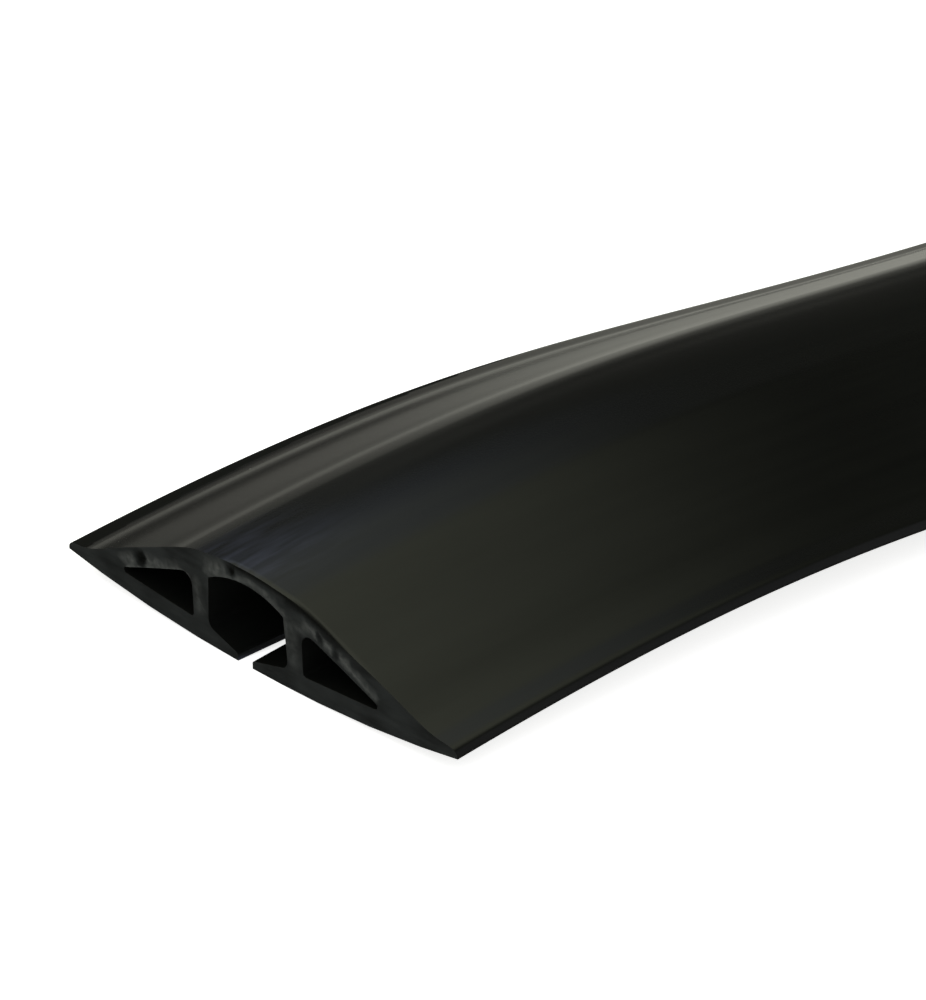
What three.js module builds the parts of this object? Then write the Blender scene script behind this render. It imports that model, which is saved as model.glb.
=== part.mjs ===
// A floor cord cover: one flexible black strip, extruded with three cells and sold as a five foot length.
// The wide middle cell takes the cord, which is pressed in through the slit between the two floor flaps.
// The strip runs along Y and rests on z = 0. Its first stretch, at -Y, still rises a little, as it left the roll.

import * as THREE from "three";

// Sizes in millimetres
const LENGTH = 1524;
const WIDTH = 63.5;
const HEIGHT = 12.7;

// The outside of the section: a crown, a ramp on each side of it, and along each edge a flatter lip with a nose
const CROWN_RADIUS = 30.5;
const RAMP_RADIUS = 130;
const LIP_WIDTH = 3.6;
const LIP_HEIGHT = 2.05;
const LIP_ANGLE = 16;
const LIP_FILLET = 6;
const NOSE_WIDTH = 1.2;

// The floor, webs and walls
const FLOOR_THICKNESS = 2.55;
const WEB_THICKNESS = 2.4;
const RAMP_WALL = 2.65;
const CROWN_WALL = 2;

// The middle cell, its slit and the flaps beside the slit
const CHANNEL_WIDTH = 13.1;
const CHANNEL_DRAFT = 0.45;
const CEILING_RADIUS = 12;
const SLIT_WIDTH = 2.4;
const SLIT_OFFSET = 0.6;
const FLAP_EDGE_THICKNESS = 1;
const FLAP_FILLET = 1.2;

// All three cells lean over together, feet towards -X, by this angle in degrees
const CELL_LEAN = 7;

// The side cells
const SIDE_CELL_WIDTH = 11.8;
const SIDE_CELL_FILLET = 1.3;
const SIDE_CELL_TIP_RADIUS = 0.35;

// The rise of the first stretch off the floor, and the cupping of its section, which lifts both edges
const RISE_LENGTH = 182;
const RISE_ANGLE = 7.8;
const RISE_LEAD = 70;
const RISE_TAIL = 100;
const CUP_DEPTH = 2.8;
const CUP_EXPONENT = 2.2;

// How finely the shape is cut up
const CROWN_STEPS = 5;
const RAMP_STEPS = 7;
const CEILING_STEPS = 8;
const NOSE_STEPS = 3;
const FILLET_STEPS = 3;
const RISE_STEPS = 18;
const STRAIGHT_STEPS = 6;

const HALF_WIDTH = WIDTH / 2;
const RAMP_FOOT = HALF_WIDTH - LIP_WIDTH;

/** Points on an arc about a centre, between two angles in radians. */
function arc(centreX, centreZ, radius, from, to, steps) {
  const points = [];
  for (let i = 0; i <= steps; i += 1) {
    const angle = from + ((to - from) * i) / steps;
    points.push(new THREE.Vector2(centreX + radius * Math.cos(angle), centreZ + radius * Math.sin(angle)));
  }
  return points;
}

/** A corner replaced by an arc that touches both of its sides. */
function fillet(before, corner, after, radius, steps) {
  const toBefore = before.clone().sub(corner).normalize();
  const toAfter = after.clone().sub(corner).normalize();
  const halfAngle = Math.acos(toBefore.dot(toAfter)) / 2;
  const bisector = toBefore.clone().add(toAfter).normalize();
  const centre = corner.clone().addScaledVector(bisector, radius / Math.sin(halfAngle));
  const start = corner.clone().addScaledVector(toBefore, radius / Math.tan(halfAngle)).sub(centre);
  const end = corner.clone().addScaledVector(toAfter, radius / Math.tan(halfAngle)).sub(centre);
  const turn = Math.atan2(start.cross(end), start.dot(end));
  return arc(centre.x, centre.y, radius, start.angle(), start.angle() + turn, steps);
}

/** The same points on the other side of the strip, in the opposite order. */
function mirrored(points) {
  return points.map((point) => new THREE.Vector2(-point.x, point.y)).reverse();
}

/** The ramp's arc: it touches the crown's arc at the shoulder, and ends where the lip starts. */
function rampArc() {
  const centreGap = RAMP_RADIUS - CROWN_RADIUS;
  const footDrop = LIP_HEIGHT - HEIGHT + CROWN_RADIUS;
  const reach = Math.hypot(RAMP_FOOT, footDrop);
  const sine = (RAMP_RADIUS ** 2 - centreGap ** 2 - reach ** 2) / (2 * centreGap * reach);
  const shoulderSlope = Math.asin(sine) - Math.atan2(footDrop, RAMP_FOOT);
  const centreX = -centreGap * Math.sin(shoulderSlope);
  const centreZ = HEIGHT - CROWN_RADIUS - centreGap * Math.cos(shoulderSlope);
  return { shoulderSlope, centreX, centreZ };
}

const ramp = rampArc();

/** The height of the ramp, or of a surface a given depth under it, at a distance from the middle. */
function rampHeight(x, depth) {
  return ramp.centreZ + Math.sqrt((RAMP_RADIUS - depth) ** 2 - (x - ramp.centreX) ** 2);
}

/** The angle about the ramp's centre at which a surface under it stands over a distance from the middle. */
function rampAngle(x, depth) {
  return Math.acos((x - ramp.centreX) / (RAMP_RADIUS - depth));
}

/** The outside of one half, from the middle of the crown down to the floor. */
function outerHalf() {
  const shoulder = Math.PI / 2 - ramp.shoulderSlope;
  const crown = arc(0, HEIGHT - CROWN_RADIUS, CROWN_RADIUS, Math.PI / 2, shoulder, CROWN_STEPS);
  const slope = arc(ramp.centreX, ramp.centreZ, RAMP_RADIUS, shoulder, rampAngle(RAMP_FOOT, 0), RAMP_STEPS);
  const lipFall = Math.tan(THREE.MathUtils.degToRad(LIP_ANGLE));
  const lipEnd = new THREE.Vector2(HALF_WIDTH - NOSE_WIDTH, LIP_HEIGHT - (LIP_WIDTH - NOSE_WIDTH) * lipFall);
  const noseCorner = new THREE.Vector2(HALF_WIDTH, LIP_HEIGHT - LIP_WIDTH * lipFall);
  const hollow = fillet(slope.at(-2), slope.at(-1), lipEnd, LIP_FILLET, FILLET_STEPS);
  const nose = new THREE.QuadraticBezierCurve(lipEnd, noseCorner, new THREE.Vector2(HALF_WIDTH, 0));
  return [...crown, ...slope.slice(1, -1), ...hollow, ...nose.getPoints(NOSE_STEPS)];
}

/** The inside of the middle cell's half, from one edge of the slit up to the middle of the ceiling. */
function channelHalf(slitEdge) {
  const wallFoot = new THREE.Vector2(CHANNEL_WIDTH / 2, FLOOR_THICKNESS);
  const wallTop = CHANNEL_WIDTH / 2 - CHANNEL_DRAFT;
  const flapTop = new THREE.Vector2(slitEdge, FLAP_EDGE_THICKNESS);
  const ceilingCentre = HEIGHT - CROWN_WALL - CEILING_RADIUS;
  const ceilingFrom = Math.acos(wallTop / CEILING_RADIUS);
  const ceiling = arc(0, ceilingCentre, CEILING_RADIUS, ceilingFrom, Math.PI / 2, CEILING_STEPS / 2);
  return [
    new THREE.Vector2(slitEdge, 0),
    flapTop,
    ...fillet(flapTop, wallFoot, ceiling[0], FLAP_FILLET, FILLET_STEPS),
    ...ceiling,
  ];
}

/** One side cell: a floor, a web and a ceiling that follows the ramp, with rounded corners. */
function sideCell() {
  const inner = CHANNEL_WIDTH / 2 + WEB_THICKNESS;
  const outer = inner + SIDE_CELL_WIDTH;
  const foot = new THREE.Vector2(inner, FLOOR_THICKNESS);
  const tipFoot = new THREE.Vector2(outer, FLOOR_THICKNESS);
  const tipTop = new THREE.Vector2(outer, rampHeight(outer, RAMP_WALL));
  const top = new THREE.Vector2(inner, rampHeight(inner, RAMP_WALL));
  const roofFrom = rampAngle(outer - 2 * SIDE_CELL_TIP_RADIUS, RAMP_WALL);
  const roofTo = rampAngle(inner + 2 * SIDE_CELL_FILLET, RAMP_WALL);
  const roof = arc(ramp.centreX, ramp.centreZ, RAMP_RADIUS - RAMP_WALL, roofFrom, roofTo, RAMP_STEPS - 2);
  return [
    foot,
    ...fillet(foot, tipFoot, tipTop, SIDE_CELL_TIP_RADIUS, 1),
    ...fillet(tipFoot, tipTop, roof[0], SIDE_CELL_TIP_RADIUS, 1),
    ...roof,
    ...fillet(roof.at(-1), top, foot, SIDE_CELL_FILLET, FILLET_STEPS),
  ];
}

/** The same points leaned over: the lower a point lies, the further it moves towards -X. */
function leaned(points) {
  const perHeight = Math.tan(THREE.MathUtils.degToRad(CELL_LEAN));
  const pivot = HEIGHT - CROWN_WALL;
  return points.map((point) => new THREE.Vector2(point.x - (pivot - point.y) * perHeight, point.y));
}

/** The whole section, which lies flat on the floor. */
function sectionShape() {
  const side = outerHalf();
  const rightHalf = channelHalf(SLIT_WIDTH / 2 - SLIT_OFFSET);
  const leftHalf = mirrored(channelHalf(SLIT_WIDTH / 2 + SLIT_OFFSET));
  const channel = leaned([...rightHalf, ...leftHalf.slice(1)]);
  const shape = new THREE.Shape([...side, ...channel, ...mirrored(side).slice(0, -1)]);
  const cell = sideCell();
  shape.holes.push(new THREE.Path(leaned(cell)), new THREE.Path(leaned(mirrored(cell))));
  return shape;
}

/** The line that the underside follows where it rises off the floor. Its x runs along the strip. */
function riseCurve() {
  const leadHeight = RISE_LEAD * Math.tan(THREE.MathUtils.degToRad(RISE_ANGLE));
  return new THREE.CubicBezierCurve(
    new THREE.Vector2(0, 0),
    new THREE.Vector2(RISE_LEAD, leadHeight),
    new THREE.Vector2(RISE_LENGTH - RISE_TAIL, 0),
    new THREE.Vector2(RISE_LENGTH, 0),
  );
}

/** The stations along the strip: where each lies, which way it leans, and how far its edges cup upwards. */
function stations() {
  const rise = riseCurve();
  const list = [];
  for (let i = 0; i <= RISE_STEPS; i += 1) {
    const share = i / RISE_STEPS;
    const place = rise.getPointAt(share);
    const along = rise.getTangentAt(share);
    const cup = CUP_DEPTH * (1 - THREE.MathUtils.smoothstep(share, 0, 1));
    list.push({ y: place.x, z: place.y, along, cup });
  }
  const straightLength = LENGTH - rise.getLength();
  for (let i = 1; i <= STRAIGHT_STEPS; i += 1) {
    const y = RISE_LENGTH + (straightLength * i) / STRAIGHT_STEPS;
    list.push({ y, z: 0, along: new THREE.Vector2(1, 0), cup: 0 });
  }
  return list;
}

/** The section swept through the stations: extruded one unit a station, from the far end back, and then bent. */
function stripGeometry() {
  const places = stations();
  const steps = places.length - 1;
  const geometry = new THREE.ExtrudeGeometry(sectionShape(), { depth: steps, steps, bevelEnabled: false });
  const position = geometry.attributes.position;
  for (let i = 0; i < position.count; i += 1) {
    const x = position.getX(i);
    const place = places[steps - Math.round(position.getZ(i))];
    const height = position.getY(i) + place.cup * Math.abs(x / HALF_WIDTH) ** CUP_EXPONENT;
    position.setXYZ(i, x, place.y - height * place.along.y, place.z + height * place.along.x);
  }
  geometry.computeVertexNormals();
  geometry.computeBoundingBox();
  const middle = geometry.boundingBox.getCenter(new THREE.Vector3());
  geometry.translate(0, -middle.y, -geometry.boundingBox.min.z);
  return geometry;
}

const blackRubber = new THREE.MeshStandardMaterial({ color: 0x1e1e1c, roughness: 0.45, metalness: 0 });

const strip = new THREE.Mesh(stripGeometry(), blackRubber);
strip.name = "cover_strip";

const cordCover = new THREE.Group();
cordCover.add(strip);

export default cordCover;
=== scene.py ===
"""A floor cord cover: one extruded strip of black rubber, lying on a pale studio floor.

Sizes are in millimetres in the strip's classes, and in metres in the meshes and the studio. The strip runs
along +Y from its cut near end.
"""

import logging
import math
from dataclasses import dataclass, field
from enum import Enum
from typing import Any

import bmesh
import bpy
from mathutils import Matrix, Vector, geometry, noise


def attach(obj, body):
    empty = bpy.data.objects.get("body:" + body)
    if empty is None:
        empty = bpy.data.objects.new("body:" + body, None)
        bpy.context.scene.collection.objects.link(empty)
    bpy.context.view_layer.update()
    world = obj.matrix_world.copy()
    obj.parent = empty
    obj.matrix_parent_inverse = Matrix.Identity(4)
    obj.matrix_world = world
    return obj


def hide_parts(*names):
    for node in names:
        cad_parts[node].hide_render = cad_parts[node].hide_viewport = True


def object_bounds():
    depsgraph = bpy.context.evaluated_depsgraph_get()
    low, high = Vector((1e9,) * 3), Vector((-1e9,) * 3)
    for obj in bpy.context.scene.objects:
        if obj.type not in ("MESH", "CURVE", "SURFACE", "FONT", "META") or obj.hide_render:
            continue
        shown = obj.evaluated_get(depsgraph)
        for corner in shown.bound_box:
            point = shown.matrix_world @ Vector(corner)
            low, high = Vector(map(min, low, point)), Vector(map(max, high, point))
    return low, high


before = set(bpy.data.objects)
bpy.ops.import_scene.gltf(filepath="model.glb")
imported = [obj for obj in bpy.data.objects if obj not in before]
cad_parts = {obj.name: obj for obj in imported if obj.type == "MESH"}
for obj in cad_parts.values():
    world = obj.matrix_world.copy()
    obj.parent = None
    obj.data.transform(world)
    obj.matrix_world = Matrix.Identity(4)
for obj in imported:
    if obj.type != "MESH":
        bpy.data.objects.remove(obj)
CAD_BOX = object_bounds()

LOG = logging.getLogger("cord_cover")
MM = 0.001
Point = tuple[float, float]
Tree = bpy.types.NodeTree
Node = bpy.types.Node
Socket = bpy.types.NodeSocket
Outputs = bpy.types.NodeOutputs
Material = bpy.types.Material
Mesh = bpy.types.Mesh


# ---- small helpers


def linear(hex_colour: str) -> tuple[float, float, float, float]:
    """Turns an sRGB hex colour into linear light.

    Args:
        hex_colour: The colour, such as "#1d1d1b".

    Returns:
        Red, green, blue and an alpha of one.
    """
    parts = [int(hex_colour[i : i + 2], 16) / 255 for i in (1, 3, 5)]
    return (*(c / 12.92 if c <= 0.04045 else ((c + 0.055) / 1.055) ** 2.4 for c in parts), 1.0)


def add(tree: Tree, kind: str, inputs: Any = (), **settings: Any) -> Node:
    """Adds a node with its settings, values and links.

    Args:
        tree: The node tree that gets it.
        kind: The node's type.
        inputs: Its values, in the order of its sockets or as a dict from a socket's name. A value may be a
            socket to link, or a node, whose first output is linked.
        **settings: Properties of the node itself.

    Returns:
        The new node.
    """
    node = tree.nodes.new(kind)
    for name, value in settings.items():
        setattr(node, name, value)
    if isinstance(inputs, dict):
        pairs = [(node.inputs[name], value) for name, value in inputs.items()]
    else:
        pairs = list(zip([socket for socket in node.inputs if socket.enabled], inputs))
    for socket, value in pairs:
        if isinstance(value, Node):
            value = next(output for output in value.outputs if output.enabled)
        if isinstance(value, Socket):
            tree.links.new(value, socket)
        else:
            socket.default_value = value
    return node


def clamped(share: float) -> float:
    """A share, kept between 0 and 1."""
    return min(1.0, max(0.0, share))


def bell(off: float) -> float:
    """A soft bump: 1 at its middle, and nearly 0 from three widths away on."""
    return math.exp(-0.5 * off**2)


def reach(place: Point, start: Point, end: Point) -> float:
    """How far a place lies from the straight line between two points."""
    target, a, b = Vector(place), Vector(start), Vector(end)
    along = clamped((target - a).dot(b - a) / (b - a).length_squared)
    return (target - a.lerp(b, along)).length


# ---- the strip's section


@dataclass(frozen=True)
class Ripple:
    """A faint change of the outside's slope, left by the die and by the walls as they cooled.

    Its place and width are measured along the outside from the edge, in millimetres.
    """

    place: float
    width: float
    degrees: float

    def slope(self, along: float) -> float:
        """How much flatter the outside is there, as a gradient."""
        return math.radians(self.degrees) * bell((along - self.place) / self.width)


RIPPLES = (
    Ripple(5.74, 0.83, 4.14),
    Ripple(9.24, 0.77, -1.68),
    Ripple(11.19, 1.0, -1.21),
    Ripple(18.4, 1.91, -0.67),
    Ripple(21.24, 1.22, -1.91),
    Ripple(22.49, 0.35, -0.21),
    Ripple(24.56, 0.84, -2.46),
    Ripple(27.31, 0.38, 2.09),
    Ripple(28.56, 1.04, 3.83),
)


@dataclass(frozen=True)
class Tear:
    """A place on the cut face where the blade dragged, pushed or nicked the rubber.

    It follows a path in the section's millimetres. Pale runs from -1.6, a dark nick, to 1, a stretched pale
    rim whose paleness is partly a painted highlight, and proud is how far the rubber stands out of the cut,
    or lies below it where it is negative.
    """

    path: tuple[Point, ...]
    width: float
    pale: float
    proud: float
    point_gap: float = 0.35

    def share(self, x: float, z: float) -> float:
        """How much of the tear a point gets, from 0 to 1."""
        to_pieces = [reach((x, z), *piece) for piece in zip(self.path, self.path[1:])]
        return bell(min([math.dist((x, z), self.path[0]), *to_pieces]) / self.width)

    def places(self) -> list[Point]:
        """Points on the path and beside it, close enough to carry the tear's shape."""
        found = []
        wide = self.width
        ends = self.path if len(self.path) > 1 else (self.path[0], self.path[0])
        for (x0, z0), (x1, z1) in zip(ends, ends[1:]):
            steps = max(1, round(math.dist((x0, z0), (x1, z1)) / self.point_gap))
            for i in range(steps + 1):
                x, z = x0 + (x1 - x0) * i / steps, z0 + (z1 - z0) * i / steps
                found += [(x, z), (x, z + wide), (x, z - wide), (x + wide, z), (x - wide, z)]
        return found


TEARS = (
    # Rims pulled out over the three cells, and down their inner walls, pale partly as a painted highlight.
    Tear(((-21.0, 3.5), (-15.0, 6.4), (-11.6, 7.75), (-10.0, 7.5)), 0.27, 0.75, 0.1),
    Tear(((-8.7, 7.4), (-8.8, 4.2)), 0.36, 0.4, 0.04),
    Tear(((-6.2, 9.6), (-3.0, 10.5), (0.6, 11.25), (3.2, 10.85), (5.4, 9.6)), 0.32, 0.6, 0.1),
    Tear(((6.1, 9.3), (5.9, 6.4)), 0.24, 0.7, 0.05),
    Tear(((7.0, 8.6), (6.7, 3.6)), 0.45, 0.3, 0.03),
    Tear(((15.9, 6.3), (18.9, 4.4), (19.7, 3.9)), 0.2, 0.8, 0.08),
    # Pale pushed patches, partly a painted highlight, with a dark nick beside two of them.
    Tear(((-20.9, 4.2), (-19.4, 5.2)), 0.5, 0.8, 0.12),
    Tear(((-17.0, 6.1), (-15.4, 6.7)), 0.34, 0.8, 0.12),
    Tear(((-5.6, 10.2), (-3.7, 11.3)), 0.5, 0.7, 0.1),
    Tear(((8.9, 8.4),), 0.3, 0.6, 0.06),
    Tear(((9.7, 9.3), (10.9, 8.9)), 0.36, 0.8, 0.12),
    Tear(((12.2, 8.3), (13.2, 7.7)), 0.4, 0.7, 0.1),
    Tear(((14.7, 7.2), (15.6, 6.6)), 0.36, 0.95, 0.14),
    Tear(((-18.6, 5.5), (-18.1, 6.1)), 0.42, -1.6, -0.35),
    Tear(((-2.1, 11.35),), 0.3, -1.6, -0.25),
    Tear(((11.4, 8.7), (11.8, 8.4)), 0.24, -0.9, -0.12),
    Tear(((13.9, 7.6), (14.2, 7.3)), 0.22, -0.7, -0.1),
)


@dataclass
class Section:
    """The cut section of the strip, seen from the near end: x across, z up, in millimetres."""

    width: float = 63.5
    height: float = 12.7
    crown_radius: float = 30.5
    ramp_radius: float = 130.0
    lip_width: float = 3.6
    lip_height: float = 2.05
    lip_angle: float = math.radians(16.0)
    lip_fillet: float = 6.0
    nose_width: float = 1.2
    floor_thickness: float = 2.55
    web_thickness: float = 2.4
    ramp_wall: float = 2.65
    crown_wall: float = 2.0
    channel_width: float = 13.1
    channel_draft: float = 0.45
    ceiling_radius: float = 12.0
    slit_width: float = 2.4
    slit_offset: float = 0.6
    flap_edge_thickness: float = 1.0
    flap_edge_fillet: float = 0.35
    flap_fillet: float = 1.2
    cell_lean: float = math.radians(7.0)
    side_cell_width: float = 11.8
    side_cell_fillet: float = 1.3
    side_cell_foot_fillet: float = 0.5
    side_cell_tip_radius: float = 0.35

    # How finely the arcs are cut into facets, from the outside inwards.
    crown_steps: int = 36
    ramp_steps: int = 56
    lip_steps: int = 6
    nose_steps: int = 8
    ceiling_steps: int = 10
    roof_steps: int = 12
    wide_fillet_steps: int = 6
    flap_fillet_steps: int = 4
    small_fillet_steps: int = 3
    hollow_facets: int = 6
    hollow_gap: float = 0.2
    underside_places: tuple[float, ...] = (26.0, 18.0, 10.0, 4.0)

    # How far the walls of the cells and the channel lie from the underside, the outside and the thin edges.
    wall_above_floor: float = 0.4
    wall_below_outside: float = 0.8
    wall_from_edge: float = 4.0

    # The rolled edge: where it starts and ends along the crown, how it fades there, and how deep it reaches.
    rolled_from: float = -3.5
    rolled_fade_in: float = 2.5
    rolled_to: float = 20.0
    rolled_fade_out: float = 8.0
    rolled_depth: float = 0.7
    rolled_fullness: float = 1.15

    # The left flap bends over this width, its top lies under this height, and its edge may lie this far out.
    flap_bend: float = 4.0
    flap_top: float = 2.6
    flap_slack: float = 1.0

    def __post_init__(self) -> None:
        """Works out the ramp's arc, which touches the crown and ends where the lip starts."""
        self.half_width = self.width / 2
        self.ramp_foot = self.half_width - self.lip_width
        self.crown_centre = self.height - self.crown_radius
        self.inner_top = self.height - self.crown_wall
        gap = self.ramp_radius - self.crown_radius
        drop = self.lip_height - self.crown_centre
        reached = math.hypot(self.ramp_foot, drop)
        sine = (self.ramp_radius**2 - gap**2 - reached**2) / (2 * gap * reached)
        self.shoulder_slope = math.asin(sine) - math.atan2(drop, self.ramp_foot)
        self.ramp_x = -gap * math.sin(self.shoulder_slope)
        self.ramp_z = self.crown_centre - gap * math.cos(self.shoulder_slope)

    @staticmethod
    def arc(centre: Point, radius: float, start: float, end: float, steps: int) -> list[Point]:
        """Points on an arc about a centre, between two angles."""
        turns = [start + (end - start) * i / steps for i in range(steps + 1)]
        return [(centre[0] + radius * math.cos(a), centre[1] + radius * math.sin(a)) for a in turns]

    @staticmethod
    def mirrored(points: list[Point]) -> list[Point]:
        """The same points on the other side, in the opposite order."""
        return [(-x, z) for x, z in reversed(points)]

    def fillet(self, before: Point, corner: Point, after: Point, radius: float, steps: int) -> list[Point]:
        """A corner replaced by an arc that touches both of its sides."""
        point = Vector(corner)
        to_before = (Vector(before) - point).normalized()
        to_after = (Vector(after) - point).normalized()
        half_angle = math.acos(to_before.dot(to_after)) / 2
        centre = point + (to_before + to_after).normalized() * (radius / math.sin(half_angle))
        start = point + to_before * (radius / math.tan(half_angle)) - centre
        end = point + to_after * (radius / math.tan(half_angle)) - centre
        first = math.atan2(start.y, start.x)
        turn = math.atan2(start.x * end.y - start.y * end.x, start.dot(end))
        return self.arc(tuple(centre), radius, first, first + turn, steps)

    def ramp_height(self, x: float, depth: float) -> float:
        """The height of the ramp, or of a surface a given depth under it."""
        return self.ramp_z + math.sqrt((self.ramp_radius - depth) ** 2 - (x - self.ramp_x) ** 2)

    def ramp_angle(self, x: float, depth: float) -> float:
        """The angle about the ramp's centre of a surface under it, at a distance from the middle."""
        return math.acos((x - self.ramp_x) / (self.ramp_radius - depth))

    def outer_half(self) -> list[Point]:
        """The outside of the right half, from the middle of the crown down to the floor."""
        upright = math.pi / 2
        shoulder = upright - self.shoulder_slope
        crown = self.arc((0, self.crown_centre), self.crown_radius, upright, shoulder, self.crown_steps)
        foot = self.ramp_angle(self.ramp_foot, 0)
        slope = self.arc((self.ramp_x, self.ramp_z), self.ramp_radius, shoulder, foot, self.ramp_steps)
        fall = math.tan(self.lip_angle)
        flat = self.lip_width - self.nose_width
        lip_end = (self.half_width - self.nose_width, self.lip_height - flat * fall)
        # The hollow touches the slope some facets before its foot, and takes the place of those it covers.
        before = slope[-self.hollow_facets]
        hollow = self.fillet(before, slope[-1], lip_end, self.lip_fillet, self.wide_fillet_steps)
        slope = [point for point in slope[1:] if point[0] < hollow[0][0] - self.hollow_gap]
        inner_end = Vector(hollow[-1])
        lip = [tuple(inner_end.lerp(Vector(lip_end), i / self.lip_steps)) for i in range(1, self.lip_steps)]
        bends = (lip_end, (self.half_width, self.lip_height - self.lip_width * fall), (self.half_width, 0.0))
        nose = []
        for i in range(self.nose_steps + 1):
            t = i / self.nose_steps
            weights = ((1 - t) ** 2, 2 * t * (1 - t), t * t)
            nose.append(tuple(sum(w * p[k] for w, p in zip(weights, bends)) for k in (0, 1)))
        return self.rippled([*crown, *slope, *hollow, *lip, *nose])

    @staticmethod
    def rippled(points: list[Point]) -> list[Point]:
        """Raises and lowers the outside by its ripples, while its two ends stay in place."""
        along, heights = [0.0], [0.0]
        for (x0, z0), (x1, z1) in zip(points[:0:-1], points[-2::-1]):
            step = math.hypot(x1 - x0, z1 - z0)
            middle = along[-1] + step / 2
            heights.append(heights[-1] - step * sum(ripple.slope(middle) for ripple in RIPPLES))
            along.append(along[-1] + step)
        left_over = heights[-1] / along[-1]
        raised = [height - left_over * place for height, place in zip(heights, along)]
        return [(x, z + rise) for (x, z), rise in zip(points, reversed(raised))]

    def channel_half(self, slit_edge: float) -> list[Point]:
        """The inside of the middle cell's right half, from the slit up to the middle of the ceiling."""
        wall_foot = (self.channel_width / 2, self.floor_thickness)
        wall_top = self.channel_width / 2 - self.channel_draft
        flap_top = (slit_edge, self.flap_edge_thickness)
        radius = self.ceiling_radius
        centre = (0.0, self.inner_top - radius)
        ceiling = self.arc(centre, radius, math.acos(wall_top / radius), math.pi / 2, self.ceiling_steps)
        slit_foot = (slit_edge, 0.0)
        steps = self.small_fillet_steps
        soft_edge = self.fillet(slit_foot, flap_top, wall_foot, self.flap_edge_fillet, steps)
        bend = self.fillet(flap_top, wall_foot, ceiling[0], self.flap_fillet, self.flap_fillet_steps)
        return [slit_foot, *soft_edge, *bend, *ceiling]

    def side_cell(self) -> list[Point]:
        """The right side cell: a floor, a web and a ceiling that follows the ramp."""
        inner = self.channel_width / 2 + self.web_thickness
        outer = inner + self.side_cell_width
        foot, tip_foot = (inner, self.floor_thickness), (outer, self.floor_thickness)
        tip_top = (outer, self.ramp_height(outer, self.ramp_wall))
        top = (inner, self.ramp_height(inner, self.ramp_wall))
        tip_radius, steps = self.side_cell_tip_radius, self.small_fillet_steps
        roof_from = self.ramp_angle(outer - 2 * tip_radius, self.ramp_wall)
        roof_to = self.ramp_angle(inner + 2 * self.side_cell_fillet, self.ramp_wall)
        roof_radius = self.ramp_radius - self.ramp_wall
        roof = self.arc((self.ramp_x, self.ramp_z), roof_radius, roof_from, roof_to, self.roof_steps)
        return [
            *self.fillet(top, foot, tip_foot, self.side_cell_foot_fillet, steps),
            *self.fillet(foot, tip_foot, tip_top, tip_radius, steps),
            *self.fillet(tip_foot, tip_top, roof[0], tip_radius, steps),
            *roof,
            *self.fillet(roof[-1], top, foot, self.side_cell_fillet, self.wide_fillet_steps),
        ]

    def leaned(self, points: list[Point]) -> list[Point]:
        """The same points leaned over: the lower one lies, the further it moves towards -x."""
        return [(x - (self.inner_top - z) * math.tan(self.cell_lean), z) for x, z in points]

    def loops(self) -> list[list[Point]]:
        """The closed outlines: first the outside with the slit and channel, then the two side cells."""
        side = self.outer_half()
        right = self.channel_half(self.slit_width / 2 - self.slit_offset)
        left = self.mirrored(self.channel_half(self.slit_width / 2 + self.slit_offset))
        channel = self.leaned([*right, *left[1:]])
        underside = [(x, 0.0) for x in self.underside_places]
        outline = [*side, *underside, *channel, *self.mirrored(underside), *self.mirrored(side)[:-1]]
        cell = self.side_cell()
        return [outline, self.leaned(cell), self.leaned(self.mirrored(cell))]

    def outside_height(self, x: float) -> float:
        """How high the plain outside lies over a place, without its ripples."""
        if abs(x) < self.crown_radius * math.sin(self.shoulder_slope):
            return self.crown_centre + math.sqrt(self.crown_radius**2 - x * x)
        return self.ramp_height(abs(x), 0.0)

    def on_wall(self, x: float, z: float) -> bool:
        """Whether a point of an outline lies on a wall of a cell or of the channel."""
        under_cover = self.wall_above_floor < z < self.outside_height(x) - self.wall_below_outside
        return under_cover and abs(x) < self.half_width - self.wall_from_edge

    def rolled(self, x: float, z: float) -> float:
        """How much a point lies on the rolled edge that the blade left along the crown, from 0 to 1; the cut
        is painted dark there as shade.
        """
        start = clamped((x - self.rolled_from) / self.rolled_fade_in)
        end = clamped((self.rolled_to - x) / self.rolled_fade_out)
        below = self.outside_height(x) - z
        return start * end * clamped(self.rolled_fullness - below / self.rolled_depth)

    def left_flap(self, x: float, z: float) -> float:
        """How much a point belongs to the left flap's free edge, from 0 to 1."""
        edge = self.slit_width / 2 + self.slit_offset + self.inner_top * math.tan(self.cell_lean)
        off = -edge - x
        if z > self.flap_top or not -self.flap_slack <= off <= self.flap_bend:
            return 0.0
        return 1.0 - max(0.0, off) / self.flap_bend


def inside(point: Point, loop: list[Point]) -> bool:
    """Whether a point lies inside a closed outline."""
    x, z = point
    odd = False
    for (x0, z0), (x1, z1) in zip(loop, [*loop[1:], loop[0]]):
        if (z0 > z) != (z1 > z) and x < x0 + (z - z0) / (z1 - z0) * (x1 - x0):
            odd = not odd
    return odd


def distance(point: Point, loop: list[Point]) -> float:
    """How far a point lies from a closed outline."""
    return min(reach(point, start, end) for start, end in zip(loop, [*loop[1:], loop[0]]))


# ---- finishes


class Grain(Enum):
    """What a pattern's wavelengths run along."""

    EVEN = (1.0, 1.0, 1.0)
    LENGTHWISE = (1.0, 0.012, 1.0)
    STREAK = (1.0, 0.06, 1.0)
    ACROSS_THE_CUT = (0.18, 1.0, 1.0)


@dataclass(frozen=True)
class Finish:
    """What every finish shares: its name, and an empty material to start from."""

    name: str

    def start(self) -> tuple[Material, Tree]:
        """Makes an empty material.

        Returns:
            The material and its node tree.
        """
        material = bpy.data.materials.new(self.name)
        material.use_nodes = True
        material.node_tree.nodes.clear()
        return material, material.node_tree


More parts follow.
